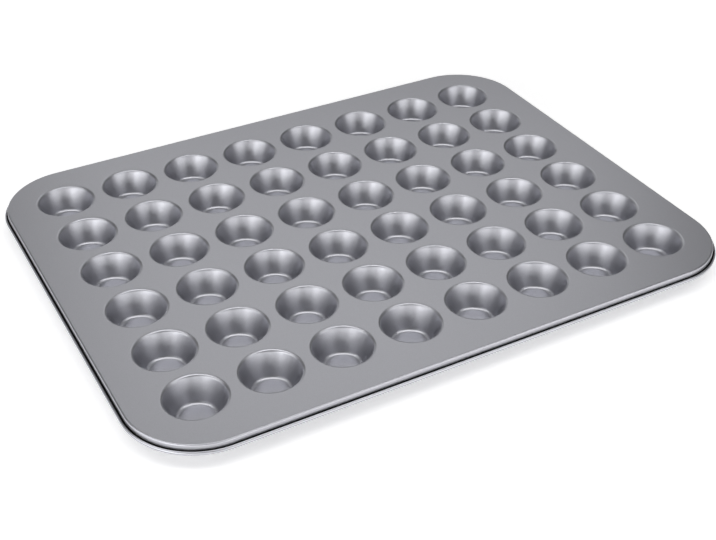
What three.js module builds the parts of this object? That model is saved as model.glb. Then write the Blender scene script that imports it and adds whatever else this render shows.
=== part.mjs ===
// A mini muffin pan: a flat steel deck, a grid of tapered cups that hang in it, and a wired, rolled rim.
// Lengths are in millimetres and +Z is up. The long side runs along X.
// The origin is under the middle of the pan, on the surface that the cups stand on.

import * as THREE from 'three';

// The sheet that the pan is pressed from, and the seam between its drawn forms
const sheetThickness = 0.6;
const seamClearance = 0.3;

// The grid of cups
const cupsAlongLength = 8;
const cupsAlongWidth = 6;
const cupPitch = 52;

// One cup, measured on its food side
const mouthDiameter = 44.4;
const mouthFilletRadius = 1.5;
const baseDiameter = 23.5;
const footFilletRadius = 3;
const cupDepth = 17.9;

// The outer edge: from the middle of an end cup to the face of the skirt, then down and round the wire
const edgeMargin = 45.5;
const cornerRadius = 51;
const edgeFilletRadius = 2;
const curlAxisDepth = 5.6;
const curlSweep = THREE.MathUtils.degToRad(258);
const wireDiameter = 1.2;
const wireClearance = 0.3;

// Flats that stand in for the round forms
const cupSides = 14;
const cornerSteps = 5;
const filletSteps = 3;
const curlSteps = 5;
const wireSides = 6;

// Looks: the grey coating of the sheet, and the plain steel of the wire
const coatingColour = 0x9b9ca2;
const coatingRoughness = 0.38;
const coatingMetalness = 0.75;
const wireColour = 0x8a8c90;
const wireRoughness = 0.45;
const wireMetalness = 1;

const deckHeight = cupDepth + sheetThickness;
const halfLength = (cupsAlongLength - 1) * cupPitch / 2 + edgeMargin;
const halfWidth = (cupsAlongWidth - 1) * cupPitch / 2 + edgeMargin;
const curlRadius = wireDiameter / 2 + wireClearance;
const quarterTurn = Math.PI / 2;

function coatedSteel() {
  return new THREE.MeshStandardMaterial({
    color: coatingColour,
    roughness: coatingRoughness,
    metalness: coatingMetalness,
  });
}

function plainSteel() {
  return new THREE.MeshStandardMaterial({
    color: wireColour,
    roughness: wireRoughness,
    metalness: wireMetalness,
  });
}

// Points on an arc round a centre, both ends included
function arcPoints(centre, radius, start, sweep, steps) {
  const points = [];
  for (let step = 0; step <= steps; step += 1) {
    const angle = start + sweep * step / steps;
    const spoke = new THREE.Vector2(Math.cos(angle), Math.sin(angle));
    points.push(spoke.multiplyScalar(radius).add(centre));
  }
  return points;
}

// The back of a sheet lies to the right of the way along its face
function backNormal(from, to) {
  const along = to.clone().sub(from).normalize();
  return new THREE.Vector2(along.y, -along.x);
}

// A sheet of even thickness behind a face: the face's points, then the back's in the other direction.
// An end is cut square to the sheet, or upright where the face starts or ends level.
function sheetSection(face, startsLevel, endsLevel) {
  const down = new THREE.Vector2(0, -1);
  const last = face.length - 1;
  const back = face.map((point, i) => {
    const ahead = backNormal(face[Math.min(i, last - 1)], face[Math.min(i + 1, last)]);
    const behind = backNormal(face[Math.max(i - 1, 0)], face[Math.max(i, 1)]);
    if ((i === 0 && startsLevel) || (i === last && endsLevel)) {
      return down.clone().multiplyScalar(sheetThickness).add(point);
    }
    const mitre = sheetThickness / (1 + ahead.dot(behind));
    return ahead.add(behind).multiplyScalar(mitre).add(point);
  });
  return [...face, ...back.reverse()];
}

// The food side of a cup, from the middle of its base out to the flat deck.
// The wall touches the round of the foot and the round of the mouth, and each round is one flat.
function cupFace() {
  const footCentre = new THREE.Vector2(baseDiameter / 2, footFilletRadius - cupDepth);
  const mouthCentre = new THREE.Vector2(mouthDiameter / 2, -mouthFilletRadius);
  const reach = mouthCentre.clone().sub(footCentre);
  const lean = Math.asin((mouthFilletRadius + footFilletRadius) / reach.length());
  const taper = Math.atan2(reach.x, reach.y) - lean;
  const outward = new THREE.Vector2(Math.cos(taper), -Math.sin(taper));
  return [
    new THREE.Vector2(0, -cupDepth),
    new THREE.Vector2(baseDiameter / 2, -cupDepth),
    outward.clone().multiplyScalar(footFilletRadius).add(footCentre),
    outward.clone().multiplyScalar(-mouthFilletRadius).add(mouthCentre),
    new THREE.Vector2(mouthDiameter / 2, 0),
  ];
}

function cupGeometry() {
  const section = sheetSection(cupFace(), true, true);
  const lathe = new THREE.LatheGeometry(section.reverse(), cupSides);
  return lathe.rotateX(quarterTurn);
}

// Stations round the plan: each corner's centre, and the ways that its quarter circle faces
function planStations() {
  const stations = [];
  for (let corner = 0; corner < 4; corner += 1) {
    const middle = (corner + 0.5) * quarterTurn;
    const centre = new THREE.Vector2(
      Math.sign(Math.cos(middle)) * (halfLength - cornerRadius),
      Math.sign(Math.sin(middle)) * (halfWidth - cornerRadius),
    );
    for (let step = 0; step <= cornerSteps; step += 1) {
      const facing = (corner + step / cornerSteps) * quarterTurn;
      stations.push({ centre, outward: new THREE.Vector2(Math.cos(facing), Math.sin(facing)) });
    }
  }
  return stations;
}

// A point of the plan, at a distance outside the face of the skirt
function planPoint(station, offset) {
  return station.outward.clone().multiplyScalar(cornerRadius + offset).add(station.centre);
}

// A closed section, drawn outside the face of the skirt and up from the deck, carried once round the plan
function carryRoundPlan(section) {
  const stations = planStations();
  const positions = [];
  const triangles = [];
  stations.forEach((station, i) => {
    const here = i * section.length;
    const next = (i + 1) % stations.length * section.length;
    section.forEach((point, j) => {
      const place = planPoint(station, point.x);
      const k = (j + 1) % section.length;
      positions.push(place.x, place.y, point.y);
      triangles.push(here + j, here + k, next + k, here + j, next + k, next + j);
    });
  });
  const geometry = new THREE.BufferGeometry();
  geometry.setAttribute('position', new THREE.Float32BufferAttribute(positions, 3));
  geometry.setIndex(triangles);
  geometry.computeVertexNormals();
  return geometry;
}

// The middle of the wire, outside the face of the skirt
function curlCentre() {
  return new THREE.Vector2(curlRadius, -curlAxisDepth);
}

// The deck turns down over a round edge into the skirt, which curls outwards and up round the wire
function rimGeometry() {
  const edgeCentre = new THREE.Vector2(-edgeFilletRadius, -edgeFilletRadius);
  const edge = arcPoints(edgeCentre, edgeFilletRadius, quarterTurn, -quarterTurn, filletSteps);
  const curl = arcPoints(curlCentre(), curlRadius, 2 * quarterTurn, curlSweep, curlSteps);
  return carryRoundPlan(sheetSection([...edge, ...curl], true, false));
}

function wireGeometry() {
  const section = arcPoints(curlCentre(), wireDiameter / 2, 0, -4 * quarterTurn, wireSides);
  section.pop();
  return carryRoundPlan(section);
}

function cupCentre(row, column) {
  return new THREE.Vector2(
    (column - (cupsAlongLength - 1) / 2) * cupPitch,
    ((cupsAlongWidth - 1) / 2 - row) * cupPitch,
  );
}

// An opening in the deck has the same flats as the cup that hangs in it
function cupOpening(row, column) {
  const centre = cupCentre(row, column);
  const radius = mouthDiameter / 2 + seamClearance;
  const points = arcPoints(centre, radius, -quarterTurn, 4 * quarterTurn, cupSides);
  points.pop();
  return new THREE.Path(points);
}

function deckGeometry() {
  const inset = edgeFilletRadius + seamClearance;
  const outline = new THREE.Shape(planStations().map((station) => planPoint(station, -inset)));
  for (let row = 0; row < cupsAlongWidth; row += 1) {
    for (let column = 0; column < cupsAlongLength; column += 1) {
      outline.holes.push(cupOpening(row, column));
    }
  }
  const plate = new THREE.ExtrudeGeometry(outline, { depth: sheetThickness, bevelEnabled: false });
  return plate.translate(0, 0, -sheetThickness);
}

function namedMesh(name, geometry, material) {
  const mesh = new THREE.Mesh(geometry, material);
  mesh.name = name;
  return mesh;
}

// The pan is drawn down from the top of its deck, and lifted to stand on its cups
const pan = new THREE.Group();
pan.position.z = deckHeight;
pan.add(namedMesh('deck', deckGeometry(), coatedSteel()));
pan.add(namedMesh('rolled_rim', rimGeometry(), coatedSteel()));
pan.add(namedMesh('rim_wire', wireGeometry(), plainSteel()));

const cupForm = cupGeometry();
for (let row = 0; row < cupsAlongWidth; row += 1) {
  for (let column = 0; column < cupsAlongLength; column += 1) {
    const centre = cupCentre(row, column);
    const cup = namedMesh(`cup_r${row + 1}_c${column + 1}`, cupForm, coatedSteel());
    cup.position.set(centre.x, centre.y, 0);
    pan.add(cup);
  }
}

const part = new THREE.Group();
part.add(pan);

export default part;
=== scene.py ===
# %% [markdown]
# # A mini muffin pan
# The pan is one sheet of steel: a flat deck, forty-eight tapered cups drawn down from it, and an
# outer edge that turns down and curls round a stiffening wire. A satin, silver-grey non-stick
# coating covers all of it. The plain solids of the pan are loaded first. They set every place and
# size, and the smooth pieces made below stand where they stand.

import math

import bmesh
import bpy
from mathutils import Matrix, Vector


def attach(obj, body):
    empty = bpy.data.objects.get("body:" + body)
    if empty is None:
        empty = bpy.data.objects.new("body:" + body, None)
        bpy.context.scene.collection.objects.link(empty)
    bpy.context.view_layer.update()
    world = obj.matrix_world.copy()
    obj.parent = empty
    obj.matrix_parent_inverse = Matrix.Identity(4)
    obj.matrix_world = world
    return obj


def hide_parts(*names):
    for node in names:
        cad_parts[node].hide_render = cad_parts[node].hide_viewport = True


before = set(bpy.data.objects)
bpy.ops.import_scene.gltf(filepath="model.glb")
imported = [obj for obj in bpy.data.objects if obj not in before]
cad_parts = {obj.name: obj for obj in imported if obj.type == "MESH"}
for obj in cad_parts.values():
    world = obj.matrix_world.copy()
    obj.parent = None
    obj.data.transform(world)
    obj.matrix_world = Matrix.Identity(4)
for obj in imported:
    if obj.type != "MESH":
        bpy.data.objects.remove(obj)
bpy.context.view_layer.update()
print("solids:", len(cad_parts))

# %% [markdown]
# Blender works in metres here, but a pan is drawn in millimetres, so every size below is a number
# times `mm`. The sheet is 0.6 mm thick, the cups are 52 mm apart, and the pan stands on the
# undersides of its cups at z = 0.

# %% Set out the sheet and the grid
mm = 0.001
sheet = 0.6 * mm
cup_pitch = 52 * mm
columns = 8
rows = 6
cup_depth = 17.9 * mm
deck_level = cup_depth + sheet
grid = [(row, column) for row in range(1, rows + 1) for column in range(1, columns + 1)]


def cup_place(row, column):
    """The axis of a cup, counted from 1 at the far left corner."""
    x = (column - (columns + 1) / 2) * cup_pitch
    y = ((rows + 1) / 2 - row) * cup_pitch
    return Vector((x, y, 0))


for row, column in (grid[0], grid[-1]):
    print("cup", row, column, "at", [round(c / mm) for c in cup_place(row, column).xy], "mm")

# %% [markdown]
# Operators act on whatever is selected, and the solids are still selected after loading. Each
# piece therefore starts from an empty selection. Inside edit mode, points are picked by their
# place, as one would with a box select.

# %% Pick points, pull them out and apply modifiers
hair = 0.01 * mm


def begin_piece(name):
    """Name the active object, and open it for editing point by point."""
    piece = bpy.context.object
    piece.name = name
    piece.data.name = name
    bpy.ops.object.mode_set(mode="EDIT")
    bpy.ops.mesh.select_mode(type="VERT")
    return piece


def pick(piece, wanted):
    """Select the points whose place is wanted, with the edges and faces between them."""
    bpy.ops.mesh.select_all(action="DESELECT")
    mesh = bmesh.from_edit_mesh(piece.data)
    for point in mesh.verts:
        point.select_set(wanted(point.co))
    mesh.select_flush(True)
    bmesh.update_edit_mesh(piece.data)


def pull(way):
    """Extrude what is selected, and move it that way."""
    bpy.ops.mesh.extrude_region_move(TRANSFORM_OT_translate={"value": way})


def apply_modifier(piece, kind, **settings):
    """Add a modifier with its settings, and apply it at once."""
    modifier = piece.modifiers.new(kind.title(), kind)
    for setting, value in settings.items():
        setattr(modifier, setting, value)
    bpy.context.view_layer.objects.active = piece
    bpy.ops.object.modifier_apply(modifier=modifier.name)


print("two places are the same within", hair / mm, "mm")

# %% [markdown]
# Every form of the pan is drawn as a bare face first. The Solidify modifier then turns it into a
# sheet of even thickness. Smooth shading hides the facets of the rounds, an edge sharper than a
# set angle stays crisp, and weighted normals keep the flats looking flat.

# %% Turn a drawn face into a sheet
crisp_angle = math.radians(40)
flat_weight = 80


def give_thickness(piece, bent=True):
    """Leave edit mode, and give the drawn face its thickness, smooth rounds and crisp cut edges."""
    bpy.ops.object.mode_set(mode="OBJECT")
    apply_modifier(piece, "SOLIDIFY", thickness=sheet, offset=-1, use_even_offset=bent)
    bpy.ops.object.shade_smooth_by_angle(angle=crisp_angle)
    apply_modifier(piece, "WEIGHTED_NORMAL", keep_sharp=True, weight=flat_weight)
    print(piece.name, len(piece.data.polygons), "faces")


print("sheet:", sheet / mm, "mm")

# %% [markdown]
# ## The cup
# A cup could be spun from a drawn profile. Here it is pulled from its mouth like the real one: a
# flat circle is extruded ring by ring, in to the edge of the mouth and down the tapered wall, and
# closed by a flat base. The two sharp rings are then bevelled to the radii that a punch and its
# die leave in steel, a little tighter at the mouth than at the foot. The wall has to touch both
# rounds, so its lean and the places of the sharp rings are worked out first. A narrow flat ring
# is kept outside the mouth, up to the seam with the deck.

# %% Work out the rings of one cup
mouth_radius, mouth_round = 22.5 * mm, 2.3 * mm
base_radius, foot_round = 11.75 * mm, 3 * mm
seam_margin = 0.15 * mm
reach = Vector((mouth_radius - base_radius, cup_depth - mouth_round - foot_round))
taper = math.atan2(reach.x, reach.y) - math.asin((mouth_round + foot_round) / reach.length)
half_turn = (math.pi / 2 - taper) / 2
mouth_setback = mouth_round * math.tan(half_turn)
foot_setback = foot_round * math.tan(half_turn)
flange_radius = mouth_radius + seam_margin
cup_rings = [
    (flange_radius, deck_level),
    (mouth_radius - mouth_setback, deck_level),
    (base_radius + foot_setback, sheet),
]
print("cup rings:", [(round(r / mm, 2), round(z / mm, 2)) for r, z in cup_rings])
print("wall leans", round(math.degrees(taper), 2), "degrees")

# %% Pull the cup down from its mouth
cup_sides = 64
bpy.ops.object.select_all(action="DESELECT")
bpy.ops.mesh.primitive_circle_add(vertices=cup_sides, radius=flange_radius)
cup = begin_piece("cup_form")
bpy.ops.transform.translate(value=(0, 0, deck_level))
for (radius, level), (next_radius, next_level) in zip(cup_rings, cup_rings[1:]):
    pull((0, 0, next_level - level))
    shrink = next_radius / radius
    bpy.ops.transform.resize(value=(shrink, shrink, 1), center_override=(0, 0, next_level))
bpy.ops.mesh.edge_face_add()
# The inset leaves the round of the foot room on the base
bpy.ops.mesh.inset(thickness=2 * foot_setback)
print("drawn cup:", len(bmesh.from_edit_mesh(cup.data).verts), "points")

# %% Round the mouth and the foot, and give the cup its thickness
round_steps = 12


def round_ring(ring, setback):
    """Bevel one ring of the cup, back from the sharp corner by the setback."""
    wide, level = cup_rings[ring]
    pick(cup, lambda place: abs(place.xy.length - wide) < hair and abs(place.z - level) < hair)
    bpy.ops.mesh.bevel(
        offset=setback, segments=round_steps, profile=0.5, affect="EDGES", clamp_overlap=False
    )


round_ring(1, mouth_setback)
round_ring(2, foot_setback)
bpy.ops.mesh.select_all(action="SELECT")
bpy.ops.mesh.normals_make_consistent(inside=False)
base = max(bmesh.from_edit_mesh(cup.data).faces, key=lambda face: len(face.verts))
if base.normal.z < 0:
    bpy.ops.mesh.flip_normals()
give_thickness(cup)

# %% [markdown]
# The other cups are copies with a mesh of their own, moved to their places in the grid. Their
# objects stay at the origin, so that a material pattern runs on from one cup to the next without
# repeating.

# %% Copy the cup to every place in the grid
cups = []
for row, column in grid:
    mesh = cup.data.copy()
    mesh.transform(Matrix.Translation(cup_place(row, column)))
    copy = bpy.data.objects.new(f"drawn_cup_r{row}_c{column}", mesh)
    mesh.name = copy.name
    bpy.context.collection.objects.link(copy)
    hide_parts(f"cup_r{row}_c{column}")
    cups.append(copy)
bpy.data.objects.remove(cup)
print("cups:", len(cups))

# %% [markdown]
# ## The rolled rim
# The edge of the deck turns down over a small round into a skirt, and the skirt curls outwards and
# up round a wire. The curl stays open at the top, so a slit runs all round the pan above the bead;
# its dark colour is painted shade, added with the finishes. The section is drawn once: a circle
# for the curl with a piece deleted for the slit, a point extruded up for the skirt, and the same
# point spun for the round of the edge. The skirt is raised in two steps, so that the part of it
# behind the slit can take that painted shade. One corner is then spun from the section, run out
# to the middle of both sides and mirrored twice.

# %% Set out the rim
edge_margin = 45.5 * mm
half_length = (columns - 1) / 2 * cup_pitch + edge_margin
half_width = (rows - 1) / 2 * cup_pitch + edge_margin
corner_radius = 51 * mm
edge_round = 1.2 * mm
curl_radius = 0.9 * mm
curl_level = deck_level - 5.6 * mm
curl_end = math.radians(78)
slit_level = deck_level - 4.1 * mm
corner = Vector((half_length - corner_radius, half_width - corner_radius, 0))
curl_axis = Vector((half_length + curl_radius, corner.y, curl_level))
print("over the skirt:", round(2 * half_length / mm, 1), "by", round(2 * half_width / mm, 1), "mm")

# %% Draw the curl, open at the slit
curl_sides = 72
angle_margin = math.radians(0.5)


def begin_ring(name, radius, sides):
    """Stand a circle upright round the axis of the curl, and open it for editing."""
    bpy.ops.object.select_all(action="DESELECT")
    bpy.ops.mesh.primitive_circle_add(vertices=sides, radius=radius, rotation=(math.pi / 2, 0, 0))
    bpy.ops.object.transform_apply(rotation=True)
    piece = begin_piece(name)
    bpy.ops.transform.translate(value=curl_axis)
    return piece


def across_slit(place):
    """True for a point of the curl's circle that lies between its open end and the skirt."""
    angle = math.atan2(place.z - curl_axis.z, place.x - curl_axis.x)
    return curl_end + angle_margin < angle < math.pi - angle_margin


rim = begin_ring("rolled_rim_sheet", curl_radius, curl_sides)
pick(rim, across_slit)
bpy.ops.mesh.delete(type="VERT")
print("curl:", len(bmesh.from_edit_mesh(rim.data).verts), "points of", curl_sides, "are left")

# %% Raise the skirt, and turn its top over into the deck
edge_steps = 8
skirt_top = deck_level - edge_round
pick(rim, lambda place: abs(place.x - half_length) < hair and abs(place.z - curl_level) < hair)
for rise in (slit_level - curl_level, skirt_top - slit_level):
    pull((0, 0, rise))
edge_centre = (half_length - edge_round, corner.y, skirt_top)
bpy.ops.mesh.spin(steps=edge_steps, angle=math.pi / 2, center=edge_centre, axis=(0, 1, 0))
pull((-seam_margin, 0, 0))
section = [point.co.z / mm for point in bmesh.from_edit_mesh(rim.data).verts]
print("rim section:", len(section), "points, top at", round(max(section), 3), "mm")

# %% Spin a corner from the section, run it out and mirror it
corner_steps = 24


def carry_round_pan(piece):
    """Spin the section round one corner, run it to the middle of two sides, and mirror that."""
    bpy.ops.mesh.select_all(action="SELECT")
    bpy.ops.mesh.spin(steps=corner_steps, angle=-math.pi / 2, center=corner, axis=(0, 0, 1))
    pick(piece, lambda place: abs(place.y - corner.y) < hair)
    pull((0, -corner.y, 0))
    pick(piece, lambda place: abs(place.x - corner.x) < hair)
    pull((-corner.x, 0, 0))
    bpy.ops.object.mode_set(mode="OBJECT")
    both_ways = (True, True, False)
    apply_modifier(piece, "MIRROR", use_axis=both_ways, use_clip=True, merge_threshold=hair)
    bpy.ops.object.mode_set(mode="EDIT")
    bpy.ops.mesh.select_all(action="SELECT")
    bpy.ops.mesh.remove_doubles(threshold=hair)
    bpy.ops.mesh.normals_make_consistent(inside=False)


carry_round_pan(rim)
mesh = bmesh.from_edit_mesh(rim.data)
top_face = max(mesh.faces, key=lambda face: face.calc_center_median().z)
if top_face.normal.z < 0:
    bpy.ops.mesh.flip_normals()
open_edges = sum(edge.is_boundary for edge in mesh.edges)
print("rim faces:", len(mesh.faces), "open edges:", open_edges)

# %% [markdown]
# ## The deck
# The deck has to meet the rim and all the cups without a step. Its outline is therefore split off
# from the rim's own inner edge, and its openings are circles with as many sides as the cups. Fill
# then closes the flat sheet between these loops. A Boolean would also cut the openings, but it
# would not keep the points exactly where the cups have theirs.

# %% Split the outline of the deck off from the rim, then finish the rim
bpy.ops.mesh.select_mode(type="EDGE")
bpy.ops.mesh.select_all(action="DESELECT")
mesh = bmesh.from_edit_mesh(rim.data)
for edge in mesh.edges:
    if edge.is_boundary and all(point.co.z > deck_level - hair for point in edge.verts):
        edge.select_set(True)
bmesh.update_edit_mesh(rim.data)
bpy.ops.mesh.duplicate()
bpy.ops.mesh.separate(type="SELECTED")
bpy.ops.mesh.select_mode(type="VERT")
give_thickness(rim)
deck = next(piece for piece in bpy.context.selected_objects if piece is not rim)
print("deck outline points:", len(deck.data.vertices))

# %% Add an opening for every cup, and fill the sheet between them
bpy.ops.object.select_all(action="DESELECT")
deck.select_set(True)
bpy.context.view_layer.objects.active = deck
begin_piece("deck_sheet")
for row, column in grid:
    place = cup_place(row, column) + Vector((0, 0, deck_level))
    bpy.ops.mesh.primitive_circle_add(vertices=cup_sides, radius=flange_radius, location=place)
bpy.ops.mesh.select_all(action="SELECT")
bpy.ops.mesh.fill(use_beauty=True)
bpy.ops.mesh.select_all(action="SELECT")
mesh = bmesh.from_edit_mesh(deck.data)
mesh.normal_update()
if sum(face.normal.z for face in mesh.faces) < 0:
    bpy.ops.mesh.flip_normals()
print("deck area:", round(sum(face.calc_area() for face in mesh.faces), 5), "square metres")
give_thickness(deck, bent=False)

# %% [markdown]
# ## The wire
# A plain steel wire lies inside the curl and makes the rim stiff. It hardly shows, but it is
# there: a circle at the axis of the curl, carried round the pan in the same way as the rim.

# %% Draw the wire and carry it round the pan
wire_radius = 0.6 * mm
wire_sides = 16
wire = begin_ring("rim_wire_loop", wire_radius, wire_sides)
carry_round_pan(wire)
bpy.ops.object.mode_set(mode="OBJECT")
bpy.ops.object.shade_smooth_by_angle(angle=crisp_angle)
print("wire faces:", len(wire.data.polygons))

# %% [markdown]
# ## Shader arithmetic
# A finish is a small formula over the surface. Writing it with plus and times signs reads better
# than wiring nodes, so this class wraps one socket and adds a Math node for each sign. Places and
# colours go through Vector Math and Mix nodes instead, because a Math node turns a colour grey.

# %% Make a socket that can be added, taken away and multiplied


class Field:
    """A value that varies over a surface: one output socket of a node tree."""

    def __init__(self, tree, socket):
        self.tree = tree
        self.socket = socket

    def node(self, kind, settings=None, inputs=None, output=0):
        """Add any node: its settings first, then the values or links of its sockets."""
        made = self.tree.nodes.new(kind)
        for name, setting in (settings or {}).items():
            setattr(made, name, setting)
        for name, value in (inputs or {}).items():
            if isinstance(value, Field):
                self.tree.links.new(value.socket, made.inputs[name])
            else:
                made.inputs[name].default_value = value
        return Field(self.tree, made.outputs[output])

    def maths(self, operation, first, second):
        """Add one Math node."""
        return self.node("ShaderNodeMath", {"operation": operation}, {0: first, 1: second})

    def __add__(self, other):
        return self.maths("ADD", self, other)

    __radd__ = __add__

    def __mul__(self, other):
        return self.maths("MULTIPLY", self, other)

    __rmul__ = __mul__

    def __sub__(self, other):
        return self.maths("SUBTRACT", self, other)

    def __rsub__(self, other):
        return self.maths("SUBTRACT", other, self)

    def vector(self, operation, other=(0, 0, 0), output="Vector"):
        """Add one Vector Math node."""
        settings = {"operation": operation}
        return self.node("ShaderNodeVectorMath", settings, {0: self, 1: other}, output)

    def noise(self, scale, detail):
        """Soft random lumps, about so many to a unit of length, with finer ones laid over them."""
        inputs = {"Vector": self, "Scale": scale, "Detail": detail}
        return self.node("ShaderNodeTexNoise", {}, inputs)

    def between(self, low, high):
        """A smooth step from 0 at low to 1 at high."""
        inputs = {"Value": self, "From Min": low, "From Max": high}
        return self.node("ShaderNodeMapRange", {"interpolation_type": "SMOOTHSTEP"}, inputs)

    def tint(self, dark, pale):
        """A colour between dark at 0 and pale at 1."""
        # A Mix node repeats its socket names for each kind of value, so the sockets are counted
        inputs = {0: self, 6: dark, 7: pale}
        return self.node("ShaderNodeMix", {"data_type": "RGBA"}, inputs, 2)


# %% [markdown]
# ## The coating
# The coating is a silver-grey lacquer full of fine metal flakes. It is satin, not mirror-like: the
# flakes scatter the light a little, and the sprayed film is slightly uneven. A picture of such a
# surface would blur or repeat close up. Cells for the flakes, fine noise for the grain and slow
# noise for the clouds in the film have no such limit.

# %% Scatter the flakes, the grain and the clouds
flakes_per_metre = 3200.0
grain_per_metre = 1500.0
clouds_per_metre = 14.0


def surface_place(tree):
    """The place of each point of the surface, on the piece's own axes."""
    return Field(tree, tree.nodes.new("ShaderNodeTexCoord").outputs["Object"])


def new_finish(name):
    """A new material, its surface shader, and the place on the piece as a field."""
    finish = bpy.data.materials.new(name)
    finish.use_nodes = True
    return finish, finish.node_tree.nodes["Principled BSDF"], surface_place(finish.node_tree)


coating, shader, place = new_finish("silver_coating")
cells = {"Vector": place, "Scale": flakes_per_metre}
flake_colour = place.node("ShaderNodeTexVoronoi", {}, cells, "Color")
flake = flake_colour.node("ShaderNodeSeparateColor", {}, {"Color": flake_colour}, "Red")
grain = place.noise(grain_per_metre, detail=2.0)
cloud = place.noise(clouds_per_metre, detail=3.0)
print("flakes:", round(1 / flakes_per_metre / mm, 2), "mm")
print("clouds:", round(1 / clouds_per_metre / mm), "mm")

# %% [markdown]
# Where the punch has drawn the steel down into a cup, faint marks run down the wall. They need a
# direction for every point, round the axis of its own cup. The grid is regular, so the fraction of
# a point's place in units of the cup pitch gives it, with no need for one material per cup.

# %% Run faint marks down the walls of the cups
mark_scale = 16.0
wall_foot = (2 * mm, 5 * mm)
wall_head = (deck_level - 3 * mm, deck_level - 1 * mm)
in_pitches = place.vector("MULTIPLY", (1 / cup_pitch, 1 / cup_pitch, 0))
in_square = in_pitches.vector("FRACTION")
from_axis = in_square.vector("SUBTRACT", (0.5, 0.5, 0))
marks = from_axis.vector("NORMALIZE").noise(mark_scale, detail=3.0)
height = place.node("ShaderNodeSeparateXYZ", {}, {"Vector": place}, "Z")
on_wall = height.between(*wall_foot) * (1 - height.between(*wall_head))
drawn = (marks - 0.5) * on_wall
print("marks run from", wall_foot[0] / mm, "to", round(wall_head[1] / mm, 1), "mm above the floor")

# %% Mix the coating, and spray it on the sheet
dark_coating = (0.457, 0.459, 0.491, 1)
pale_coating = (0.537, 0.540, 0.577, 1)
satin = 0.33
flake_height = 0.04 * mm
flake_relief = 0.06
coated_pieces = [deck, rim, *cups]


def make_metal(shader, looks):
    """Make a surface all metal, and link the fields of its looks to their sockets."""
    shader.inputs["Metallic"].default_value = 1.0
    for socket, field in looks.items():
        field.tree.links.new(field.socket, shader.inputs[socket])


shade = 0.5 * flake + 0.3 * grain + 0.2 * cloud + 0.6 * drawn
relief = 0.6 * flake + 0.4 * grain
raised = {"Strength": flake_relief, "Distance": flake_height, "Height": relief}
coating_looks = {
    "Base Color": shade.tint(dark_coating, pale_coating),
    "Roughness": satin + 0.05 * grain + 0.05 * cloud + 0.2 * drawn,
    "Normal": relief.node("ShaderNodeBump", {}, raised),
}
make_metal(shader, coating_looks)
for piece in coated_pieces:
    piece.data.materials.append(coating)
print("coating:", len(coating.node_tree.nodes), "nodes on", len(coated_pieces), "pieces")

# %% [markdown]
# ## Painted shade in the curl
# The wire has no coating. It and the inside of the curl take a near-black steel colour, which is
# painted shade: it makes the slit above the bead read as a dark line. The rim gets this finish as
# a second material, on the faces inside the curl and behind the slit.

# %% Paint shade on the wire
# Near-black colours, painted shade for the wire and the inside of the curl; a noise mottles them
painted_shade_dark = (0.03, 0.03, 0.032, 1)
painted_shade_pale = (0.09, 0.088, 0.085, 1)
mottle_per_metre = 400.0
shaded, shader, place = new_finish("painted_shade_steel")
shade_mottle = place.noise(mottle_per_metre, detail=4.0)
shaded_looks = {
    "Base Color": shade_mottle.tint(painted_shade_dark, painted_shade_pale),
    "Roughness": 0.45 + 0.2 * shade_mottle,
}
make_metal(shader, shaded_looks)
wire.data.materials.append(shaded)
print("bare steel:", len(shaded.node_tree.nodes), "nodes")

# %% Paint shade inside the curl
close_by = 0.1 * mm


def outside_skirt(place):
    """How far a point lies outside the face of the skirt, seen from above."""
    past_x = max(abs(place.x) - corner.x, 0)
    past_y = max(abs(place.y) - corner.y, 0)
    return math.hypot(past_x, past_y) - corner_radius


# The faces inside the curl and behind the slit take the near-black finish as painted shade
rim.data.materials.append(shaded)
for face in rim.data.polygons:
    outside, level = outside_skirt(face.center), face.center.z
    in_curl = math.hypot(outside - curl_radius, level - curl_level) < curl_radius + close_by
    behind_slit = abs(outside) < close_by and curl_level < level < slit_level
    if in_curl or behind_slit:
        face.material_index = 1
print("faces in the curl:", sum(face.material_index for face in rim.data.polygons))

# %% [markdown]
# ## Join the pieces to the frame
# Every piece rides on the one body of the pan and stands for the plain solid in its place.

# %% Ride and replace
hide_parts("deck")
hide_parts("rolled_rim")
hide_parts("rim_wire")
for piece in coated_pieces:
    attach(piece, "root")
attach(wire, "root")
print("pieces on the frame:", len(coated_pieces) + 1)

# %% [markdown]
# ## The camera
# The camera stands in front of the pan, to the left, and looks down on it with a fairly long lens.
# Its place was fitted to the grid of cup mouths, which shows the perspective well.

# %% Set the camera
lens_length = 61.22
camera_place = Vector((-0.3677, -0.6792, 0.5211))
camera_aim = Vector((-0.0282, -0.0597, 0.0185))
camera_turn = math.radians(-28.7)
camera_data = bpy.data.cameras.new("camera")
camera_data.lens = lens_length
camera_data.sensor_width = 36
camera = bpy.data.objects.new("camera", camera_data)
bpy.context.collection.objects.link(camera)
camera.location = camera_place
camera.rotation_euler = (camera_aim - camera_place).to_track_quat("-Z", "Y").to_euler()
bpy.context.scene.camera = camera
print("camera:", round((camera_aim - camera_place).length, 3), "metres from its aim")

# %% [markdown]
# ## The floor
# The pan lies on white paper. Lamps that suit the metal leave the paper grey, and brighter ones
# would spoil the metal. So the paper also glows, but only for rays that are seen, straight from
# the camera or by way of a mirrored or clear surface. Rays that carry light find plain paper. The
# glow is weak near the pan, where the shadow has to stay, and grows to white further off. From
# below the paper is clear, so that the underside of the pan can be looked at.

# %% Lay the floor
floor_size = 60
bpy.ops.object.select_all(action="DESELECT")
bpy.ops.mesh.primitive_plane_add(size=floor_size)
floor = bpy.context.object
floor.name = "floor"
print("floor:", floor_size, "metres square")

# %% Mix the white paper
paper_white = (0.95, 0.95, 0.95, 1)
paper_glow = 0.38
glow_starts, glow_full = 0.35, 0.9
seen_ways = ("Is Camera Ray", "Is Glossy Ray", "Is Transmission Ray")

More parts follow.
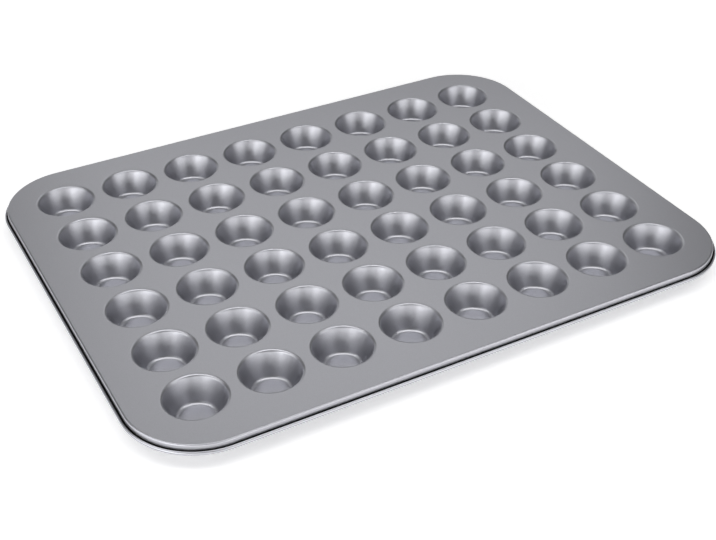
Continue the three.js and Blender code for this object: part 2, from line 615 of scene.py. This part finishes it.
paper = bpy.data.materials.new("white_paper")
paper.use_nodes = True
tree = paper.node_tree
tree.nodes.clear()
ray = tree.nodes.new("ShaderNodeLightPath")
straight, mirrored, through = (Field(tree, ray.outputs[way]) for way in seen_ways)
seen = straight.maths("MAXIMUM", straight.maths("MAXIMUM", straight, mirrored), through)
away = surface_place(tree).vector("LENGTH", output="Value").between(glow_starts, glow_full)
brightness = seen * (paper_glow + (1 - paper_glow) * away)
matte = seen.node("ShaderNodeBsdfDiffuse", {}, {"Color": paper_white})
glow = seen.node("ShaderNodeEmission", {}, {"Color": brightness})
both = seen.node("ShaderNodeAddShader", {}, {0: matte, 1: glow})
clear = seen.node("ShaderNodeBsdfTransparent")
from_below = seen.node("ShaderNodeNewGeometry", output="Backfacing")
one_way = seen.node("ShaderNodeMixShader", {}, {0: from_below, 1: both, 2: clear})
output = tree.nodes.new("ShaderNodeOutputMaterial")
tree.links.new(one_way.socket, output.inputs["Surface"])
floor.data.materials.append(paper)
print("paper:", len(tree.nodes), "nodes")

# %% [markdown]
# ## The lamps
# Satin metal looks like whatever stands round it, so the lamps are placed by what each part of the
# pan mirrors. The flat deck shows a soft panel behind the pan. The bases of the cups, by way of
# their far walls, and the round edges of the mouths show a wide panel overhead. The walls show the
# low lamps in front, left and right, and the bright strips to the left and the right draw the two
# pale streaks in every cup. A last, dim panel at the far left lifts the right-hand edge of each
# mouth.

# %% Hang the lamps


def softbox(name, turn, rise, distance, size, level):
    """Hang a soft panel that faces the pan. Its level is how bright it looks in a mirror."""
    lamp_data = bpy.data.lights.new(name, "AREA")
    lamp_data.shape = "RECTANGLE"
    lamp_data.size, lamp_data.size_y = size
    lamp_data.energy = level * math.pi * size[0] * size[1]
    lamp = bpy.data.objects.new(name, lamp_data)
    bpy.context.collection.objects.link(lamp)
    way = math.radians(turn) + camera_turn
    up = math.radians(rise)
    back = Vector((math.sin(way) * math.cos(up), -math.cos(way) * math.cos(up), math.sin(up)))
    lamp.location = back * distance
    lamp.rotation_euler = (-back).to_track_quat("-Z", "Y").to_euler()
    lamp.visible_camera = False


# Turn from the camera and rise above the floor in degrees, distance and size in metres, level
lamps = [
    ("top_panel", 0, 77, 1.4, (3.0, 0.6), 2.4),
    ("left_strip", -27, 12, 1.6, (0.5, 0.75), 3.6),
    ("left_panel", -55, 14, 1.6, (1.25, 0.8), 2.05),
    ("right_strip", 27, 7, 1.6, (0.5, 0.4), 2.8),
    ("right_panel", 55, 13.5, 1.6, (1.25, 0.78), 1.9),
    ("front_strip", 0, 8, 1.9, (0.8, 0.5), 2.7),
    ("back_panel", 180.5, 41, 2.0, (1.55, 1.2), 0.73),
    ("far_left_panel", -147, 9, 2.0, (1.2, 0.65), 0.7),
]
for lamp in lamps:
    softbox(*lamp)
print("lamps:", len(lamps))

# %% [markdown]
# ## The room
# Between the lamps the metal mirrors a dim, even room, which keeps its dark parts from going
# black. Colours are shown as they are written, with the Standard view.

# %% Set the room
room_level = 0.15
world = bpy.data.worlds.new("room")
bpy.context.scene.world = world
world.use_nodes = True
tree = world.node_tree
tree.nodes.clear()
background = tree.nodes.new("ShaderNodeBackground")
background.inputs["Color"].default_value = (1, 1, 1, 1)
background.inputs["Strength"].default_value = room_level
output = tree.nodes.new("ShaderNodeOutputWorld")
tree.links.new(background.outputs[0], output.inputs["Surface"])
bpy.context.scene.view_settings.view_transform = "Standard"
print("room level:", room_level)
